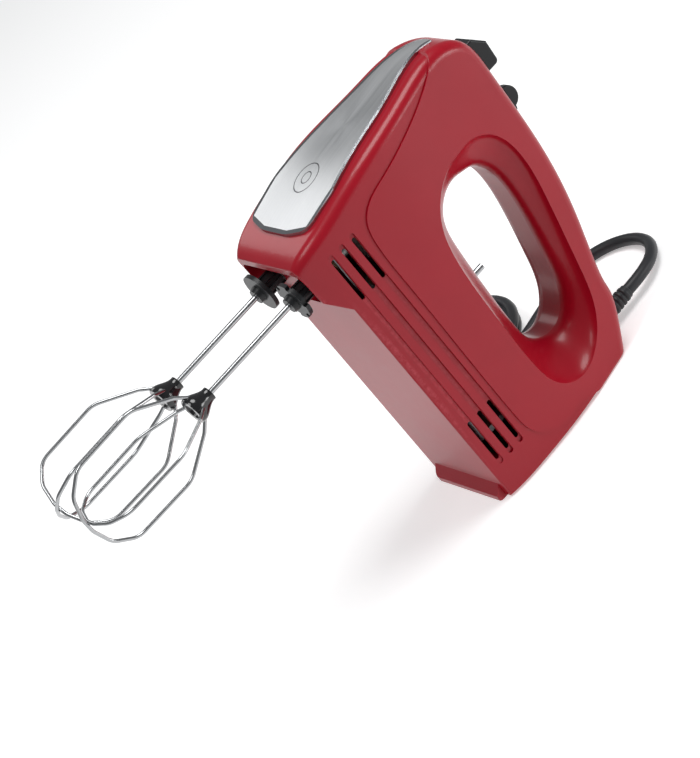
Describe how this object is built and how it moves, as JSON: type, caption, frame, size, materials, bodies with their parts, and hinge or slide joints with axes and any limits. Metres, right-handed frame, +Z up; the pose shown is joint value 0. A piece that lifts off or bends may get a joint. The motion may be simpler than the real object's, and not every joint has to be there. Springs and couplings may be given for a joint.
{
  "type": "hand mixer",
  "caption": "Corded hand mixer standing on its heel: clamshell body with finger opening, worm drive, counter-turning wire beaters, eject button, speed slide and coiled lead.",
  "frame": {"origin": "foot of the motor's axis on the flat heel face that the mixer stands on", "axes": "+Z up through the nose, +X from the beaters to the back of the handle, +Y to the user's right"},
  "size_m": [0.3415, 0.1869, 0.1969],
  "materials": {
    "red_plastic": "satin moulded, signal red",
    "brushed_plate": "brushed lengthwise, polished bevel",
    "black_plastic": "satin black",
    "gloss_black": "glossy black",
    "polished_steel": "polished wire and rod",
    "cord_rubber": "dark grey, soft sheen",
    "zinc_steel": "plain steel",
    "copper": "enamelled copper wire and copper bars",
    "carbon": "sintered carbon",
    "gear_plastic": "natural acetal",
    "frame_cast": "die cast",
    "bronze": "sintered bronze",
    "board_green": "lacquered board"
  },
  "bodies": {
    "housing": {"housing_left": "red_plastic", "housing_right": "red_plastic", "front_plate": "brushed_plate", "housing_screws": "zinc_steel", "motor_stator": "zinc_steel", "field_coils": "copper", "carbon_brushes": "carbon", "brush_holders": "bronze", "motor_bearings": "bronze", "motor_frame": "frame_cast", "gear_frame": "frame_cast", "spindle_bushes": "bronze", "eject_spring": "zinc_steel", "switch_frame": "black_plastic", "switch_block": "black_plastic", "speed_board": "board_green", "strain_relief": "cord_rubber", "cord": "cord_rubber", "cord_coil": "cord_rubber", "coil_tie": "black_plastic", "plug_body": "black_plastic", "plug_pins": "polished_steel"},
    "armature": {"armature_core": "zinc_steel", "armature_winding": "copper", "commutator": "copper", "motor_shaft": "zinc_steel", "cooling_fan": "black_plastic"},
    "left_drive": {"worm_wheel_left": "gear_plastic", "spindle_left": "zinc_steel"},
    "right_drive": {"worm_wheel_right": "gear_plastic", "spindle_right": "zinc_steel"},
    "left_beater": {"beater_left_shank": "black_plastic", "beater_left_stem": "polished_steel", "beater_left_hub": "gloss_black", "beater_left_outer_wire": "polished_steel", "beater_left_inner_wire": "polished_steel"},
    "right_beater": {"beater_right_shank": "black_plastic", "beater_right_stem": "polished_steel", "beater_right_hub": "gloss_black", "beater_right_outer_wire": "polished_steel", "beater_right_inner_wire": "polished_steel"},
    "ejector": {"eject_button": "black_plastic", "eject_yoke": "black_plastic"},
    "switch": {"speed_switch": "black_plastic"}
  },
  "joints": [
    {"name": "motor_spin", "type": "hinge", "parent": "housing", "child": "armature", "pos_m": [0, 0, 0.07], "axis": [0, 0, 1], "continuous": true},
    {"name": "left_drive_spin", "type": "hinge", "parent": "housing", "child": "left_drive", "pos_m": [0, -0.0175, 0.157], "axis": [1, 0, 0], "continuous": true},
    {"name": "right_drive_spin", "type": "hinge", "parent": "housing", "child": "right_drive", "pos_m": [0, 0.0175, 0.157], "axis": [1, 0, 0], "continuous": true},
    {"name": "left_beater_pull", "type": "slide", "parent": "left_drive", "child": "left_beater", "axis": [-1, 0, 0], "range_m": [0, 0.06]},
    {"name": "right_beater_pull", "type": "slide", "parent": "right_drive", "child": "right_beater", "axis": [-1, 0, 0], "range_m": [0, 0.06]},
    {"name": "eject_press", "type": "slide", "parent": "housing", "child": "ejector", "axis": [-1, 0, 0], "range_m": [0, 0.004], "stiffness_N_per_m": 900, "springref_m": -0.002, "deforming": ["eject_spring"]},
    {"name": "speed_slide", "type": "slide", "parent": "housing", "child": "switch", "axis": [0, 0, 1], "range_m": [-0.007, 0.007]}
  ],
  "couplings": [
    {"joint": "motor_spin", "follows": "left_drive_spin", "ratio": -26},
    {"joint": "right_drive_spin", "follows": "left_drive_spin", "ratio": -1}
  ]
}
